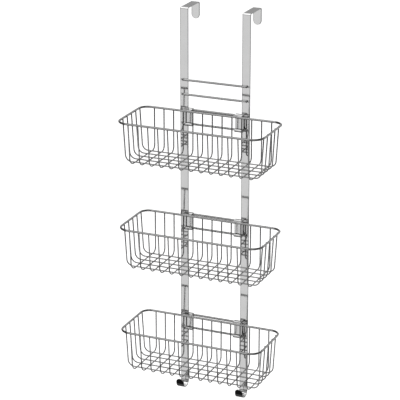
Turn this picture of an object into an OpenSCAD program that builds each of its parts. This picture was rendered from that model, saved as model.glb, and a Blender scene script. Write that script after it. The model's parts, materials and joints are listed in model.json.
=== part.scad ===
// Over-door shower caddy: two bent flat-bar uprights with hooks at both ends,
// eight round cross rods, and three lift-off wire baskets hung on pairs of rods.
// Millimetres, +Z up. The door's front face is the plane y = 0, its top edge z = 0,
// the baskets stand out towards -Y, and x = 0 is midway between the uprights.

/* [Uprights] */
// Distance between the centre lines of the two uprights
upright_spacing = 150; // [130:1:190]
// Width of the flat bar
bar_w = 20; // [16:1:24]
// Thickness of the flat bar
bar_t = 2; // [1.5:0.1:3]
// Thickness of door that the top hooks straddle
door_gap = 62; // [25:1:80]
// Length of the tab that hangs behind the door, from the door's top edge
tab_drop = 38; // [25:1:60]
// Outside bend radius at the corners of the top hooks
bend_r = 4; // [3.5:0.1:6]
// Height of the centre of the bottom hook's bend, below the door's top edge
hook_drop = 901.2; // [860:0.1:960]
// Outside radius of the bottom hook's bend
hook_r = 15.5; // [12:0.5:22]
// Outward lean of the bottom hook's tip
tip_lean = 12; // [0:1:30]
// Straight run between the bend and the rounded tip
tip_run = 3; // [1:0.5:8]

/* [Rods] */
// Diameter of the cross rods
rod_d = 5; // [3:0.1:5.5]
// Depth to which a rod is welded into the bar's front face
rod_weld = 0.1; // [0.05:0.05:0.3]
// Length of the towel rods and of each basket's lower rod
short_rod_len = 157; // [145:1:165]
// Length of each basket's upper rod
long_rod_len = 166.4; // [150:0.2:169]
// Height of the first towel rod, below the door's top edge
towel_drop = 164.3; // [120:0.1:170]
// Distance between the two towel rods
towel_pitch = 34; // [28:0.5:34]

/* [Tiers] */
// Height of the first basket's upper rod, below the door's top edge
tier_drop = 232.6; // [230:0.1:250]
// Distance between baskets
tier_pitch = 250.5; // [200:0.5:260]
// Distance from a basket's upper rod down to its lower rod
rod_pitch = 33.5; // [28:0.5:45]

/* [Basket] */
// Diameter of the rim wire
rim_d = 5; // [4:0.1:6]
// Width of the rim between the centre lines of its sides
rim_w = 344; // [320:1:380]
// Depth of the rim between the centre lines of its front and back
rim_depth = 144.5; // [130:0.5:160]
// Bend radius of the rim's two front corners
rim_front_r = 27; // [20:1:35]
// Bend radius of the rim's two back corners
rim_back_r = 22; // [18:1:30]
// Distance from the door's front face to the centre line of the back of the rim
rim_back = 16.4; // [14:0.1:20]
// Height of the rim's centre below the upper rod's centre
rim_below_rod = 1; // [0:0.1:1.5]
// Diameter of the basket wires
wire_d = 3; // [2.5:0.1:3.5]
// Depth of the basket, from the rim's centre to the centre of the cross wires
basket_h = 99.3; // [80:0.1:120]
// Distance between neighbouring cross wires
cross_pitch = 23.8; // [20:0.1:25]
// Distance between neighbouring floor wires
floor_pitch = 22.4; // [18:0.1:24]
// Distance by which the foot of the front wall is set back from its top
front_lean = 8.7; // [0:0.1:14]
// Distance by which the foot of each side wall is set in from its top
side_lean = 6; // [0:0.1:12]
// Bend radius at the foot of the front wall
front_bend_r = 20; // [8:1:24]
// Bend radius at the foot of the back wall
back_bend_r = 12; // [8:1:18]
// Bend radius at the foot of each side wall
side_bend_r = 15; // [8:1:24]

/* [Hangers] */
// Width of each hanger's web
hanger_w = 20; // [16:1:24]
// Distance from the middle of the caddy to a hanger's inner edge
hanger_in = 52; // [44:0.5:55]
// Thickness of the hanger's sheet
sheet_t = 1.2; // [0.8:0.1:1.5]
// Running clearance between a hanger and its rods
rod_gap = 0.15; // [0.1:0.05:0.3]
// Length of the lip behind the upper rod, below the rod's centre
lip_len = 6; // [3:0.5:8]
// Outside radius of the rolled bottom edge
roll_r = 3.5; // [2.5:0.1:4.5]

/* [Hidden] */
$fn = 48;

steel = [0.78, 0.79, 0.8];
wire_steel = [0.66, 0.67, 0.69];
sheet_steel = [0.72, 0.73, 0.75];

weld = 0.4;                             // how far two welded basket wires sink into each other
cross_n = 13;
floor_n = 5;
rod_y = -bar_t - rod_d / 2 + rod_weld;  // centre line of every rod
rim_y0 = -rim_back - rim_depth;         // centre line of the rim's front
floor_mid = -rim_back - rim_depth / 2 + 4.3; // the floor wires stand nearer the back than the front
weld_in = (rim_d + wire_d) / 2 - weld;  // from the rim's centre to a wire welded inside it
cap_in = rod_d / 2 + rod_gap;           // inside of the curl over the upper rod
cap_out = cap_in + sheet_t;
inboard = upright_spacing / 2 - bar_w / 2 - hanger_in - 0.5; // width that clears the upright

function unit(v) = v / norm(v);
function cross2(a, b) = a[0] * b[1] - a[1] * b[0];
function heading(v) = atan2(v[1], v[0]);
function deflection(a, b) = acos(min(1, a * b));
function setback(a, b, r) = r * tan(deflection(a, b) / 2);

// Part of a ring between two radii, from one angle through a sweep of 90 degrees or less
module ring_arc(r_in, r_out, from, sweep) {
    intersection() {
        difference() {
            circle(r = r_out);
            circle(r = r_in);
        }
        rotate(from) square(r_out + 1);
        rotate(from + sweep - 90) square(r_out + 1);
    }
}

// The same through a number of quarter turns
module ring_sector(r_in, r_out, from, quarters) {
    for (q = [0:quarters - 1])
        ring_arc(r_in, r_out, from + 90 * q, 90);
}

// A shape drawn in the Y-Z plane, given a width along X
module across(width) {
    rotate([90, 0, 90])
        linear_extrude(width)
            children();
}

// The rounded end of the bar standing upwards on z = 0 after a straight run, its back at y = 0
module rounded_tip(run) {
    rotate([90, 0, 0])
        linear_extrude(bar_t) {
            translate([0, run])
                intersection() {
                    circle(d = bar_w);
                    translate([-bar_w / 2, 0]) square([bar_w, bar_w]);
                }
            if (run > 0)
                translate([-bar_w / 2, 0]) square([bar_w, run]);
        }
}

module bar_profile() {
    tab_len = tab_drop - bar_w / 2;
    corner_in = bend_r - bar_t;
    // tab behind the door
    translate([door_gap, -tab_len]) square([bar_t, tab_len - corner_in]);
    // bridge over the door's top edge
    translate([door_gap - corner_in, -corner_in]) ring_sector(corner_in, bend_r, 0, 1);
    translate([corner_in, 0]) square([door_gap - 2 * corner_in, bar_t]);
    translate([corner_in, -corner_in]) ring_sector(corner_in, bend_r, 90, 1);
    // long leg down the door's face
    translate([-bar_t, -hook_drop]) square([bar_t, hook_drop - corner_in]);
    // bottom hook
    translate([-hook_r, -hook_drop]) {
        ring_arc(hook_r - bar_t, hook_r, 270, 90);
        ring_arc(hook_r - bar_t, hook_r, 180 + tip_lean, 90 - tip_lean);
    }
}

module upright() {
    translate([-bar_w / 2, 0, 0]) across(bar_w) bar_profile();
    translate([0, -hook_r, -hook_drop])
        rotate([tip_lean, 0, 0])
            translate([0, bar_t - hook_r, 0]) {
                rounded_tip(tip_run);
                // a hair-thin collar that fuses the tip to the bend
                translate([0, -bar_t / 2, 0])
                    cube([bar_w + 0.04, bar_t + 0.04, 0.6], center = true);
            }
    translate([0, door_gap + bar_t, bar_w / 2 - tab_drop]) rotate([0, 180, 0]) rounded_tip(0);
}

module rod(len, z) {
    translate([-len / 2, rod_y, z])
        rotate([0, 90, 0])
            cylinder(h = len, d = rod_d);
}

// A round wire along a flat path of points, each inner point rounded to its radius
module flat_wire(path, radii, d) {
    last = len(path) - 1;
    dirs = [for (i = [0:last - 1]) unit(path[i + 1] - path[i])];
    backs = [for (i = [0:last]) i == 0 || i == last ? 0 : setback(dirs[i - 1], dirs[i], radii[i])];
    for (i = [0:last - 1]) {
        start = path[i] + dirs[i] * backs[i];
        run = norm(path[i + 1] - path[i]) - backs[i] - backs[i + 1];
        translate([start[0], start[1], 0])
            rotate([0, 0, heading(dirs[i])])
                rotate([0, 90, 0])
                    cylinder(h = run, d = d);
    }
    for (i = [1:last - 1]) {
        side = sign(cross2(dirs[i - 1], dirs[i]));
        enter = path[i] - dirs[i - 1] * backs[i];
        leave = path[i] + dirs[i] * backs[i];
        centre = enter + side * radii[i] * [-dirs[i - 1][1], dirs[i - 1][0]];
        first = side > 0 ? enter : leave;
        translate([centre[0], centre[1], 0])
            rotate([0, 0, heading(first - centre)])
                rotate_extrude(angle = deflection(dirs[i - 1], dirs[i]))
                    translate([radii[i], 0]) circle(d = d);
        wire_collar(enter, dirs[i - 1], d);
        wire_collar(leave, dirs[i], d);
    }
}

// A hair-thin collar that fuses a straight length of wire to its bend
module wire_collar(point, along, d) {
    translate([point[0], point[1], 0])
        rotate([0, 0, heading(along)])
            rotate([0, 90, 0])
                cylinder(h = 0.6, d = d + 0.04, center = true);
}

// Everything below is drawn with the rim's centre height at z = 0

module basket_rim() {
    hw = rim_w / 2;
    // closed ring, begun and ended in the middle of its back
    flat_wire([[0, -rim_back], [hw, -rim_back], [hw, rim_y0], [-hw, rim_y0], [-hw, -rim_back], [0, -rim_back]],
        [0, rim_back_r, rim_front_r, rim_front_r, rim_back_r, 0], rim_d);
}

module basket_cross_wires() {
    front = rim_y0 + weld_in;
    for (i = [0:cross_n - 1])
        translate([(i - (cross_n - 1) / 2) * cross_pitch, 0, 0])
            rotate([90, 0, 90])
                flat_wire([[front, 0], [front + front_lean, -basket_h],
                    [-rim_back, -basket_h], [-rim_back, -rim_d / 2 + weld]],
                    [0, front_bend_r, back_bend_r, 0], wire_d);
}

module basket_floor_wires() {
    top = rim_w / 2 - weld_in;
    foot = top - side_lean;
    floor_z = -basket_h + wire_d - weld;
    for (i = [0:floor_n - 1])
        translate([0, floor_mid + (i - (floor_n - 1) / 2) * floor_pitch, 0])
            rotate([90, 0, 0])
                flat_wire([[-top, 0], [-foot, floor_z], [foot, floor_z], [top, 0]],
                    [0, side_bend_r, side_bend_r, 0], wire_d);
}

// Hanger for the +X side, drawn with the rim's centre height at z = 0
module basket_hanger() {
    rod_z = rim_below_rod;
    web_front = rod_y - cap_out;
    tongue_y = -rim_back - 2;
    weld_z = rim_d / 2 - 0.2;
    translate([hanger_in, 0, 0]) across(hanger_w) {
        // web in front of both rods
        translate([web_front, rod_z - rod_pitch]) square([sheet_t, rod_pitch]);
        // flat cap that reaches back to the upright
        translate([rod_y, rod_z + cap_in]) square([-bar_t - rod_gap - rod_y, sheet_t]);
        // front of the curl, and the tongue that is welded on top of the rim
        translate([rod_y, rod_z]) ring_sector(cap_in, cap_out, 90, 1);
        polygon([[rod_y, rod_z + cap_in], [rod_y, rod_z + cap_out],
            [rod_y - cap_in, rod_z + cap_out], [-rim_back + 3, weld_z + sheet_t],
            [tongue_y, weld_z + sheet_t], [tongue_y, weld_z], [-rim_back + 3, weld_z],
            [rod_y - cap_in, rod_z + cap_in]]);
        // bottom edge rolled forwards
        translate([rod_y - cap_in - roll_r, rod_z - rod_pitch])
            ring_sector(roll_r - sheet_t, roll_r, 90, 3);
    }
    // back of the curl and its lip, inboard of the upright
    translate([hanger_in, 0, 0]) across(inboard) {
        translate([rod_y, rod_z]) ring_sector(cap_in, cap_out, 0, 1);
        translate([rod_y + cap_in, rod_z - lip_len]) square([sheet_t, lip_len]);
    }
}

// Puts a basket's part at its tier, counted from the top
module at_tier(tier) {
    translate([0, 0, -tier_drop - (tier - 1) * tier_pitch - rim_below_rod]) children();
}

module upright_left() { color(steel) translate([-upright_spacing / 2, 0, 0]) upright(); }
module upright_right() { color(steel) translate([upright_spacing / 2, 0, 0]) upright(); }

module towel_rod_1() { color(steel) rod(short_rod_len, -towel_drop); }
module towel_rod_2() { color(steel) rod(short_rod_len, -towel_drop - towel_pitch); }

module upper_rod(tier) { color(steel) rod(long_rod_len, -tier_drop - (tier - 1) * tier_pitch); }
module lower_rod(tier) {
    color(steel) rod(short_rod_len, -tier_drop - (tier - 1) * tier_pitch - rod_pitch);
}

module upper_rod_1() { upper_rod(1); }
module lower_rod_1() { lower_rod(1); }
module rim_1() { color(steel) at_tier(1) basket_rim(); }
module cross_wires_1() { color(wire_steel) at_tier(1) basket_cross_wires(); }
module floor_wires_1() { color(wire_steel) at_tier(1) basket_floor_wires(); }
module hanger_left_1() { color(sheet_steel) at_tier(1) mirror([1, 0, 0]) basket_hanger(); }
module hanger_right_1() { color(sheet_steel) at_tier(1) basket_hanger(); }

module upper_rod_2() { upper_rod(2); }
module lower_rod_2() { lower_rod(2); }
module rim_2() { color(steel) at_tier(2) basket_rim(); }
module cross_wires_2() { color(wire_steel) at_tier(2) basket_cross_wires(); }
module floor_wires_2() { color(wire_steel) at_tier(2) basket_floor_wires(); }
module hanger_left_2() { color(sheet_steel) at_tier(2) mirror([1, 0, 0]) basket_hanger(); }
module hanger_right_2() { color(sheet_steel) at_tier(2) basket_hanger(); }

module upper_rod_3() { upper_rod(3); }
module lower_rod_3() { lower_rod(3); }
module rim_3() { color(steel) at_tier(3) basket_rim(); }
module cross_wires_3() { color(wire_steel) at_tier(3) basket_cross_wires(); }
module floor_wires_3() { color(wire_steel) at_tier(3) basket_floor_wires(); }
module hanger_left_3() { color(sheet_steel) at_tier(3) mirror([1, 0, 0]) basket_hanger(); }
module hanger_right_3() { color(sheet_steel) at_tier(3) basket_hanger(); }

upright_left();
upright_right();
towel_rod_1();
towel_rod_2();
upper_rod_1();
lower_rod_1();
upper_rod_2();
lower_rod_2();
upper_rod_3();
lower_rod_3();
rim_1();
cross_wires_1();
floor_wires_1();
hanger_left_1();
hanger_right_1();
rim_2();
cross_wires_2();
floor_wires_2();
hanger_left_2();
hanger_right_2();
rim_3();
cross_wires_3();
floor_wires_3();
hanger_left_3();
hanger_right_3();
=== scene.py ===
import json
import math

import bmesh
import bpy
from mathutils import Matrix, Vector

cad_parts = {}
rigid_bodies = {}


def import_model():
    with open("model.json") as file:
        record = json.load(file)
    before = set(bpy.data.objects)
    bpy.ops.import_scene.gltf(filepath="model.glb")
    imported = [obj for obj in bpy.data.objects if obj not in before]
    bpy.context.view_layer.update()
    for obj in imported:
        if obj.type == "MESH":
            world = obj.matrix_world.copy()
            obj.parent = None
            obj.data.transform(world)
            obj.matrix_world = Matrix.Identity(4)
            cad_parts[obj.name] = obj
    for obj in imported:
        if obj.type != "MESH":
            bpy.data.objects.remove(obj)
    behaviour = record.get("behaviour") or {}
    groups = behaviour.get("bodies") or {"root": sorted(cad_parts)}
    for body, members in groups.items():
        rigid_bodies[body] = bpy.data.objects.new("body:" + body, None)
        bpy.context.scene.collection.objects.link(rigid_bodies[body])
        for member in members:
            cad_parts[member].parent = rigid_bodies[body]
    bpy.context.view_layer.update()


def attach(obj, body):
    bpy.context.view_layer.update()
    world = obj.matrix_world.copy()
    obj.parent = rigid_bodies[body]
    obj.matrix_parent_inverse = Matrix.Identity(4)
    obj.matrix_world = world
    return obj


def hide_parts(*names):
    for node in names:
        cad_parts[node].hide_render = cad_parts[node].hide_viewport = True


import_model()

MM = 0.001

# ---------------------------------------------------------------- materials

CLOUD_SCALE = 38.0    # cloudiness, per metre
LINE_SCALE = 900.0    # polishing lines, per metre
LINE_DEPTH = 0.0001   # metres


def link(nt, a, a_out, b, b_in):
    nt.links.new(a.outputs[a_out], b.inputs[b_in])


def chrome(name, tone, rough, spread, grain, along=(1.0, 1.0, 1.0)):
    """Polished plated steel. tone is its brightest grey and spread how far the cloudiness
    darkens it; rough is its mean roughness, grain the strength of the polishing lines, and
    along scales their pattern, small on the axis that they follow."""
    mat = bpy.data.materials.new(name)
    mat.use_nodes = True
    nt = mat.node_tree
    bsdf = nt.nodes["Principled BSDF"]
    bsdf.inputs["Metallic"].default_value = 1.0
    bsdf.inputs["Specular IOR Level"].default_value = 0.5
    coord = nt.nodes.new("ShaderNodeTexCoord")
    cloud = nt.nodes.new("ShaderNodeTexNoise")
    cloud.inputs["Scale"].default_value = CLOUD_SCALE
    cloud.inputs["Detail"].default_value = 3.0
    link(nt, coord, "Object", cloud, "Vector")
    ramp = nt.nodes.new("ShaderNodeValToRGB")
    ramp.color_ramp.elements[0].position = 0.3
    ramp.color_ramp.elements[1].position = 0.72
    low = tone * (1.0 - spread)
    ramp.color_ramp.elements[0].color = (low, low, low, 1.0)
    ramp.color_ramp.elements[1].color = (tone, tone, tone, 1.0)
    link(nt, cloud, "Fac", ramp, "Fac")
    link(nt, ramp, "Color", bsdf, "Base Color")
    rough_map = nt.nodes.new("ShaderNodeMapRange")
    rough_map.inputs["From Min"].default_value = 0.25
    rough_map.inputs["From Max"].default_value = 0.75
    rough_map.inputs["To Min"].default_value = rough * 0.6
    rough_map.inputs["To Max"].default_value = rough * 1.5
    link(nt, cloud, "Fac", rough_map, "Value")
    link(nt, rough_map, "Result", bsdf, "Roughness")
    mapping = nt.nodes.new("ShaderNodeMapping")
    mapping.inputs["Scale"].default_value = along
    link(nt, coord, "Object", mapping, "Vector")
    lines = nt.nodes.new("ShaderNodeTexNoise")
    lines.inputs["Scale"].default_value = LINE_SCALE
    lines.inputs["Detail"].default_value = 2.0
    link(nt, mapping, "Vector", lines, "Vector")
    bump = nt.nodes.new("ShaderNodeBump")
    bump.inputs["Strength"].default_value = grain
    bump.inputs["Distance"].default_value = LINE_DEPTH
    link(nt, lines, "Fac", bump, "Height")
    link(nt, bump, "Normal", bsdf, "Normal")
    return mat


BAR = chrome("chrome_bar", 0.64, 0.05, 0.05, 0.05, (1.0, 1.0, 0.04))
ROD = chrome("chrome_rod", 0.59, 0.07, 0.06, 0.06, (0.04, 1.0, 1.0))
RIM = chrome("chrome_rim", 0.60, 0.07, 0.06, 0.06)
WIRE = chrome("chrome_wire", 0.59, 0.09, 0.08, 0.08)
SHEET = chrome("chrome_sheet", 0.63, 0.07, 0.06, 0.06, (1.0, 1.0, 0.1))
# Near-black metal on the rods' end faces: painted shade, standing in for the dark that these ends
# show.
ROD_END_SHADE = chrome("rod_end_painted_shade", 0.10, 0.3, 0.2, 0.2)
WELD = chrome("chrome_weld", 0.57, 0.15, 0.14, 0.3)

# ---------------------------------------------------------------- mesh tools

CUT_EDGE = 0.28     # rounding of a wire's cut end, as a share of its radius
CORNER_STEPS = 6    # faces round each edge of a flat bar


def finish_mesh(name, bm, mats, body, nodes):
    """Turns a bmesh in millimetres into a smooth object that rides on a body and stands in
    for the given nodes."""
    bmesh.ops.recalc_face_normals(bm, faces=bm.faces[:])
    me = bpy.data.meshes.new(name)
    bm.to_mesh(me)
    bm.free()
    for p in me.polygons:
        p.use_smooth = True
    for m in mats:
        me.materials.append(m)
    me.transform(Matrix.Scale(MM, 4))
    ob = bpy.data.objects.new(name, me)
    bpy.context.scene.collection.objects.link(ob)
    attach(ob, body)
    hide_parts(*nodes)
    return ob


def loft(bm, rings, closed=False, cap=0):
    """Skins a list of vertex rings. Open ends are capped, with the cap material."""
    n = len(rings[0])
    pairs = list(zip(rings, rings[1:]))
    if closed:
        pairs.append((rings[-1], rings[0]))
    for a, b in pairs:
        for i in range(n):
            bm.faces.new((a[i], a[(i + 1) % n], b[(i + 1) % n], b[i]))
    if not closed:
        bm.faces.new(rings[0][::-1]).material_index = cap
        bm.faces.new(rings[-1]).material_index = cap


def tube(bm, path, radius, closed=False, sides=14, cap=0):
    """Sweeps a round wire along a path, with slightly rounded cut ends."""
    pts = [Vector(p) for p in path]
    n = len(pts)
    tangents = []
    for i in range(n):
        a = pts[i - 1] if (closed or i > 0) else pts[i]
        b = pts[(i + 1) % n] if (closed or i < n - 1) else pts[i]
        tangents.append((b - a).normalized())
    ref = Vector((0, 0, 1)) if abs(tangents[0].z) < 0.9 else Vector((0, 1, 0))
    normal = tangents[0].cross(ref).normalized()
    frames = []
    for i in range(n):
        if i:
            axis = tangents[i - 1].cross(tangents[i])
            if axis.length > 1e-9:
                ang = math.asin(min(1.0, axis.length))
                normal = Matrix.Rotation(ang, 3, axis.normalized()) @ normal
        normal = (normal - tangents[i] * normal.dot(tangents[i])).normalized()
        frames.append((pts[i], tangents[i], normal.copy()))
    rows = [(p, t, m, radius) for p, t, m in frames]
    if not closed:
        edge = radius * CUT_EDGE
        p0, t0, m0 = frames[0]
        p1, t1, m1 = frames[-1]
        head = [(p0 + t0 * edge * (1 - math.sin(a)), t0, m0, radius - edge * (1 - math.cos(a)))
                for a in (math.pi / 2, math.pi / 4, 0.0)]
        tail = [(p1 - t1 * edge * (1 - math.sin(a)), t1, m1, radius - edge * (1 - math.cos(a)))
                for a in (0.0, math.pi / 4, math.pi / 2)]
        rows = head + rows[1:-1] + tail
    rings = []
    for p, t, m, r in rows:
        side = t.cross(m)
        rings.append([bm.verts.new(p + (m * math.cos(a) + side * math.sin(a)) * r)
                      for a in (2 * math.pi * k / sides for k in range(sides))])
    loft(bm, rings, closed, cap)


def rounded_path(points, radii, step=7.0):
    """Points along a polyline whose inner corners are rounded; step is in degrees."""
    pts = [Vector(p) for p in points]
    out = [pts[0]]
    for i in range(1, len(pts) - 1):
        a, b, c = pts[i - 1], pts[i], pts[i + 1]
        d1, d2 = (b - a).normalized(), (c - b).normalized()
        turn = d1.angle(d2)
        if radii[i] <= 0 or turn < 1e-4:
            out.append(b)
            continue
        back = radii[i] * math.tan(turn / 2)
        start = b - d1 * back
        inward = (d2 - d1 * d1.dot(d2)).normalized()
        centre = start + inward * radii[i]
        steps = max(3, int(math.degrees(turn) / step))
        for k in range(steps + 1):
            t = turn * k / steps
            out.append(centre + (d1 * math.sin(t) - inward * math.cos(t)) * radii[i])
    out.append(pts[-1])
    return out


def bead(bm, at, size):
    """A small weld nugget in the second material: an ellipsoid with the given half sizes."""
    m = Matrix.Translation(Vector(at)) @ Matrix.Diagonal((*size, 1.0))
    res = bmesh.ops.create_uvsphere(bm, u_segments=10, v_segments=6, radius=1.0, matrix=m)
    for v in res["verts"]:
        for f in v.link_faces:
            f.material_index = 1


def strip(bm, path, spans, thick, edge, wide):
    """Sweeps flat bar along a path in the Y-Z plane. spans gives each point's X range.
    edge is how deep its edges are rounded, and wide how far the rounding reaches in."""
    pts = [Vector((0, p[0], p[1])) for p in path]
    n = len(pts)
    rings = []
    for i in range(n):
        a, b = pts[max(0, i - 1)], pts[min(n - 1, i + 1)]
        t = (b - a).normalized()
        up = Vector((1, 0, 0)).cross(t)
        x0, x1 = spans[i]
        h = thick / 2
        e = min(edge, h * 0.95)
        w = min(wide, (x1 - x0) * 0.48)
        ring = []
        corners = ((x1 - w, h - e, 0), (x0 + w, h - e, 90),
                   (x0 + w, e - h, 180), (x1 - w, e - h, 270))
        for cx, cy, first in corners:
            for k in range(CORNER_STEPS + 1):
                ang = math.radians(first + 90 * k / CORNER_STEPS)
                across = Vector((cx + w * math.cos(ang), 0, 0))
                ring.append(bm.verts.new(pts[i] + across + up * (cy + e * math.sin(ang))))
        rings.append(ring)
    loft(bm, rings)


def flat_fix(ob):
    """Keeps flat faces flat where they meet rounded edges."""
    mod = ob.modifiers.new("weighted", "WEIGHTED_NORMAL")
    mod.keep_sharp = True


# ---------------------------------------------------------------- sizes (mm)

UPRIGHT_X = 75.0                # uprights' centre lines, either side of the middle
BAR_W, BAR_T = 20.0, 2.0
GAP, TAB, BEND = 62.0, 38.0, 4.0
HOOK_Z, HOOK_R = -901.2, 15.5
TIP_LEAN, TIP_RUN = 12.0, 3.0
ROD_R, ROD_Y = 2.5, -4.4
TOWEL_Z = (-164.3, -198.3)
TIERS = (-232.6, -483.1, -733.6)
ROD_PITCH = 33.5
SHORT_ROD, LONG_ROD = 157.0, 166.4
RIM_R, RIM_W, RIM_BACK, RIM_FRONT = 2.5, 172.0, -16.4, -160.9
RIM_BELOW_ROD = 1.0
RIM_BACK_BEND, RIM_FRONT_BEND = 22, 27
WIRE_R = 1.5
WELD_DEPTH = 0.4                # how far welded wires sink into each other
WIRE_PAST_RIM = 0.6             # how far a wire's end stands above the rim's centre
BASKET_H = 99.3
FRONT_LEAN, SIDE_LEAN = 8.7, 6
FRONT_BEND, BACK_BEND, SIDE_BEND = 20, 12, 15
SHEET_T, ROD_GAP = 1.2, 0.15
SHEET_IN, SHEET_OUT, LIP_OUT = 52.0, 72.0, 64.5
LIP = 6.0
ROLL_R = 3.5

# ---------------------------------------------------------------- uprights


def tip_half(s):
    """Half-width of the bar at s from the start of its rounded end."""
    r = BAR_W / 2
    return math.sqrt(max(0.0, r * r - s * s))


def upright(name, cx):
    bm = bmesh.new()
    mid_t = BAR_T / 2
    r_mid = BEND - mid_t
    inner = BEND - BAR_T
    tip_r = BAR_W / 2 * 0.998       # just short of the tip's point
    path, half = [], []

    def add(y, z, w=BAR_W / 2):
        path.append((y, z))
        half.append(w)

    # tab behind the door, from its tip up
    tab_y, tip_z = GAP + mid_t, -(TAB - BAR_W / 2)
    for k in range(13):
        s = math.cos(math.pi / 2 * k / 12) * tip_r
        add(tab_y, tip_z - s, tip_half(s))
    for k in range(1, 5):
        add(tab_y, tip_z + (TAB - BAR_W / 2 - BEND + BAR_T) * k / 5)
    # back bend, bridge over the door and front bend
    for c_y, first in ((GAP - inner, 0), (inner, 90)):
        for k in range(13):
            a = math.radians(first + 90 * k / 12)
            add(c_y + r_mid * math.cos(a), -inner + r_mid * math.sin(a))
        if first == 0:
            for k in range(1, 8):
                add(GAP - inner - (GAP - 2.0 * inner) * k / 8, mid_t)
    # the long face
    run = 60
    for k in range(1, run):
        add(-mid_t, -inner + (HOOK_Z + inner) * k / run)
    # bottom hook and its leaning tip
    r_hook = HOOK_R - mid_t
    for k in range(25):
        a = math.radians((TIP_LEAN - 180) * k / 24)
        add(-HOOK_R + r_hook * math.cos(a), HOOK_Z + r_hook * math.sin(a))
    lean = math.radians(TIP_LEAN)
    y0, z0 = path[-1]
    for k in range(14):
        s = TIP_RUN + math.sin(math.pi / 2 * k / 13) * tip_r
        add(y0 - s * math.sin(lean), z0 + s * math.cos(lean), tip_half(s - TIP_RUN))
    strip(bm, path, [(cx - w, cx + w) for w in half], BAR_T, 0.9, 1.6)
    flat_fix(finish_mesh(name + "_bar", bm, [BAR], "frame", [name]))


upright("upright_left", -UPRIGHT_X)
upright("upright_right", UPRIGHT_X)

# ---------------------------------------------------------------- rods


def rod(node, length, z):
    bm = bmesh.new()
    n = 24
    path = [(-length / 2 + length * k / n, ROD_Y, z) for k in range(n + 1)]
    # The end faces take the third material, the near-black painted shade.
    tube(bm, path, ROD_R, sides=20, cap=2)
    for sx in (-UPRIGHT_X, UPRIGHT_X):
        for dx in (-6.0, 0.0, 6.0):
            for dz in (1.25, -1.25):
                bead(bm, (sx + dx, -BAR_T + 0.1, z + dz), (2.6, 0.7, 0.9))
    finish_mesh(node + "_bar", bm, [ROD, WELD, ROD_END_SHADE], "frame", [node])


for i, z in enumerate(TOWEL_Z, 1):
    rod(f"towel_rod_{i}", SHORT_ROD, z)
for t, z in enumerate(TIERS, 1):
    rod(f"upper_rod_{t}", LONG_ROD, z)
    rod(f"lower_rod_{t}", SHORT_ROD, z - ROD_PITCH)

# ---------------------------------------------------------------- baskets

CROSS_X = [(i - 6) * 23.8 for i in range(13)]
FLOOR_Y = [(RIM_BACK + RIM_FRONT) / 2 + 4.3 + (i - 2) * 22.4 for i in range(5)]
INSET = RIM_R + WIRE_R - WELD_DEPTH     # from the rim's centre to a wire welded inside it


def rim(t, z):
    bm = bmesh.new()
    corners = [(0, RIM_BACK, z), (RIM_W, RIM_BACK, z), (RIM_W, RIM_FRONT, z),
               (-RIM_W, RIM_FRONT, z), (-RIM_W, RIM_BACK, z), (0, RIM_BACK, z)]
    bends = [0, RIM_BACK_BEND, RIM_FRONT_BEND, RIM_FRONT_BEND, RIM_BACK_BEND, 0]
    path = rounded_path(corners, bends, 6.0)[:-1]
    tube(bm, path, RIM_R, closed=True, sides=20)
    finish_mesh(f"rim_wire_{t}", bm, [RIM], f"basket_{t}", [f"rim_{t}"])


def cross_wires(t, z):
    bm = bmesh.new()
    front = RIM_FRONT + INSET
    for x in CROSS_X:
        path = rounded_path([(x, front, z + WIRE_PAST_RIM), (x, front + FRONT_LEAN, z - BASKET_H),
                             (x, RIM_BACK, z - BASKET_H), (x, RIM_BACK, z - RIM_R + WELD_DEPTH)],
                            [0, FRONT_BEND, BACK_BEND, 0])
        tube(bm, path, WIRE_R)
        bead(bm, (x, front - 1.3, z), (1.7, 1.1, 1.5))
        bead(bm, (x, RIM_BACK, z - RIM_R - 0.1), (1.9, 1.9, 0.9))
    finish_mesh(f"cross_wire_set_{t}", bm, [WIRE, WELD], f"basket_{t}",
                [f"cross_wires_{t}"])


def floor_wires(t, z):
    bm = bmesh.new()
    top = RIM_W - INSET
    floor_z = z - BASKET_H + 2 * WIRE_R - WELD_DEPTH
    low = top - SIDE_LEAN
    for y in FLOOR_Y:
        path = rounded_path([(-top, y, z + WIRE_PAST_RIM), (-low, y, floor_z),
                             (low, y, floor_z), (top, y, z + WIRE_PAST_RIM)],
                            [0, SIDE_BEND, SIDE_BEND, 0])
        tube(bm, path, WIRE_R)
        for s in (-1, 1):
            bead(bm, (s * (top + 1.3), y, z), (1.1, 1.7, 1.5))
        for x in CROSS_X:
            bead(bm, (x, y, floor_z - WIRE_R + 0.2), (1.75, 1.75, 0.7))
    finish_mesh(f"floor_wire_set_{t}", bm, [WIRE, WELD], f"basket_{t}",
                [f"floor_wires_{t}"])


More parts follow.
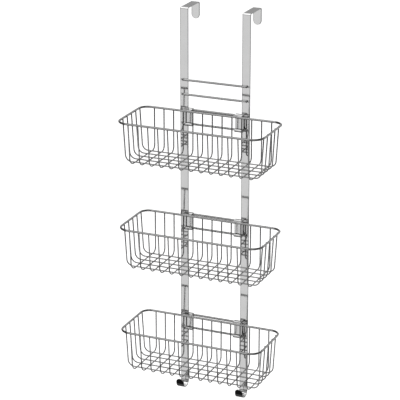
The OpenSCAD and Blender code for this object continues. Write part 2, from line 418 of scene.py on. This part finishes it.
def hanger(t, side, z):
    """z is the upper rod's height."""
    bm = bmesh.new()
    inner = ROD_R + ROD_GAP
    r = inner + SHEET_T / 2
    mirror = -1 if side == "left" else 1

    def plate(path, x_out):
        span = tuple(sorted((mirror * SHEET_IN, mirror * x_out)))
        strip(bm, path, [span] * len(path), SHEET_T, 0.3, 0.3)

    # tongue from the rim, and the flat cap over the rod
    rim_top = z - RIM_BELOW_ROD + RIM_R
    weld_z = rim_top - 0.2 + SHEET_T / 2
    front = ROD_Y - inner
    plate([(RIM_BACK - 2, weld_z), (RIM_BACK, weld_z), (RIM_BACK + 3, weld_z),
           (front - 3, z + r - 0.62), (front - 1.4, z + r - 0.3), (front, z + r - 0.04),
           (ROD_Y - 1, z + r), (ROD_Y, z + r), (-BAR_T - ROD_GAP, z + r)], SHEET_OUT)
    # curl down behind the rod, and its lip
    path = []
    for k in range(11):
        a = math.radians(100 - 10 * k)
        path.append((ROD_Y + r * math.cos(a), z + r * math.sin(a)))
    path += [(ROD_Y + r, z - LIP * k / 3) for k in range(1, 4)]
    plate(path, LIP_OUT)
    # web, from the curl's front down to the rolled edge
    path = []
    for k in range(7):
        a = math.radians(105 + 75 * k / 6)
        path.append((ROD_Y + r * math.cos(a), z + r * math.sin(a)))
    for k in range(1, 9):
        path.append((ROD_Y - r, z - ROD_PITCH * k / 8))
    roll = ROLL_R - SHEET_T / 2
    c_y = front - ROLL_R
    for k in range(1, 25):
        a = math.radians(-268 * k / 24)
        path.append((c_y + roll * math.cos(a), z - ROD_PITCH + roll * math.sin(a)))
    plate(path, SHEET_OUT)
    for x in (56.5, 67.5):
        bead(bm, (mirror * x, RIM_BACK, rim_top), (2.4, 1.7, 0.8))
    flat_fix(finish_mesh(f"hanger_sheet_{side}_{t}", bm, [SHEET, WELD], f"basket_{t}",
                         [f"hanger_{side}_{t}"]))


for t, z in enumerate(TIERS, 1):
    rim(t, z - RIM_BELOW_ROD)
    cross_wires(t, z - RIM_BELOW_ROD)
    floor_wires(t, z - RIM_BELOW_ROD)
    hanger(t, "left", z)
    hanger(t, "right", z)

# ---------------------------------------------------------------- stage

FLOOR_Z = -2.0          # well below the caddy, since it hangs
FLOOR_HALF = 14.0
FLOOR_GLOW = 0.86       # keeps the floor's white even without burning out
ROOM = 0.08             # the studio's brightness between the cards

bm = bmesh.new()
bmesh.ops.create_grid(bm, x_segments=8, y_segments=8, size=FLOOR_HALF)
me = bpy.data.meshes.new("floor")
bm.to_mesh(me)
bm.free()
floor = bpy.data.objects.new("floor", me)
floor.location = (0, 0, FLOOR_Z)
bpy.context.scene.collection.objects.link(floor)
paper = bpy.data.materials.new("floor_paper")
paper.use_nodes = True
pb = paper.node_tree.nodes["Principled BSDF"]
pb.inputs["Base Color"].default_value = (0.93, 0.93, 0.93, 1)
pb.inputs["Roughness"].default_value = 0.9
pb.inputs["Emission Color"].default_value = (1, 1, 1, 1)
pb.inputs["Emission Strength"].default_value = FLOOR_GLOW
me.materials.append(paper)
floor.visible_glossy = False

world = bpy.data.worlds.new("studio")
bpy.context.scene.world = world
world.use_nodes = True
wt = world.node_tree
bg = wt.nodes["Background"]
wc = wt.nodes.new("ShaderNodeTexCoord")


def card(direction, cos_in, cos_out, level, below):
    """A soft-edged card of the given brightness in one direction of the studio, laid over
    what is below it. It's full within cos_in and gone past cos_out."""
    dot = wt.nodes.new("ShaderNodeVectorMath")
    dot.operation = "DOT_PRODUCT"
    dot.inputs[1].default_value = Vector(direction).normalized()
    link(wt, wc, "Generated", dot, 0)
    edge = wt.nodes.new("ShaderNodeMapRange")
    edge.interpolation_type = "SMOOTHSTEP"
    edge.inputs["From Min"].default_value = cos_out
    edge.inputs["From Max"].default_value = cos_in
    link(wt, dot, "Value", edge, "Value")
    mix = wt.nodes.new("ShaderNodeMix")
    mix.data_type = "FLOAT"
    mix.inputs["B"].default_value = level
    link(wt, edge, "Result", mix, "Factor")
    if below is None:
        mix.inputs["A"].default_value = ROOM
    else:
        link(wt, below, "Result", mix, "A")
    return mix


# Each card's direction, inner and outer cosine, and brightness. Later ones cover earlier.
CARDS = (
    ((0.0, 1.0, -0.1), 0.9, 0.3, 0.25),
    ((-0.373, -0.866, -0.332), 0.975, 0.93, 0.95),
    ((0.373, 0.866, -0.332), 0.96, 0.90, 0.55),
    ((-0.373, 0.866, 0.332), 0.96, 0.90, 0.42),
    ((-0.373, 0.866, -0.332), 0.99, 0.97, 0.9),
    ((-0.373, -0.866, 0.332), 0.99, 0.96, 0.6),
    ((0.373, -0.866, -0.332), 0.985, 0.96, 0.5),
    ((-0.35, -0.35, 0.87), 0.985, 0.93, 1.1),
    ((0.37, 0.866, 0.336), 0.985, 0.93, 0.5),
    ((0.45, 0.3, -0.84), 0.93, 0.75, 0.5),
    ((0.3, -0.6, 0.75), 0.95, 0.85, 0.55),
    ((-0.373, -0.656, -0.656), 0.99, 0.975, 0.01),
)
cards = None
for direction, cos_in, cos_out, level in CARDS:
    cards = card(direction, cos_in, cos_out, level, cards)
# The camera itself sees plain white behind the caddy.
sight = wt.nodes.new("ShaderNodeLightPath")
seen = wt.nodes.new("ShaderNodeMix")
seen.data_type = "FLOAT"
seen.inputs["B"].default_value = 1.0
link(wt, cards, "Result", seen, "A")
link(wt, sight, "Is Camera Ray", seen, "Factor")
link(wt, seen, "Result", bg, "Color")
bg.inputs["Strength"].default_value = 1.0


def area(name, loc, target, size, power):
    """A rectangular light that doesn't show in the metal's reflections."""
    data = bpy.data.lights.new(name, "AREA")
    data.shape = "RECTANGLE"
    data.size, data.size_y = size
    data.energy = power
    ob = bpy.data.objects.new(name, data)
    ob.location = loc
    aim = Vector(target) - Vector(loc)
    ob.rotation_euler = aim.to_track_quat("-Z", "Y").to_euler()
    ob.visible_glossy = False
    bpy.context.scene.collection.objects.link(ob)
    return ob


area("key", (-3.0, -3.5, 3.2), (0, 0, -0.5), (2.4, 2.4), 60)
area("top", (0.5, 2.0, 4.0), (-1.0, 2.5, -2.0), (4.0, 4.0), 60)

# A strip light over the caddy that only the flat bars and hanger plates take up, which
# draws the bright line along their folds.
over = area("fold_strip", (-0.45, -0.03, 1.1), (0, 0, 0), (3.5, 1.0), 12.5)
over.visible_glossy = True
over.visible_camera = False
flat_work = bpy.data.collections.new("flat_work")
for ob in bpy.data.objects:
    if ob.name.startswith(("upright", "hanger")):
        flat_work.objects.link(ob)
over.light_linking.receiver_collection = flat_work

# ---------------------------------------------------------------- camera

SENSOR = 36.0
FOCAL_PER_WIDTH = 4.65745

cam_data = bpy.data.cameras.new("camera")
cam_data.sensor_width = SENSOR
cam_data.lens = FOCAL_PER_WIDTH * SENSOR
cam_data.shift_x = 0.0057
cam_data.shift_y = 0.0007
cam_data.clip_end = 60.0
cam = bpy.data.objects.new("camera", cam_data)
az, el, dist = math.radians(23.32), math.radians(19.38), 4.27853   # round, up and away
target = Vector((-0.04191, -0.002, -0.44826))
away = Vector((math.sin(az) * math.cos(el), -math.cos(az) * math.cos(el), math.sin(el)))
cam.location = target + away * dist
cam.rotation_euler = (-away).to_track_quat("-Z", "Y").to_euler()
bpy.context.scene.collection.objects.link(cam)
bpy.context.scene.camera = cam
bpy.context.scene.view_settings.view_transform = "Standard"

bpy.context.view_layer.update()
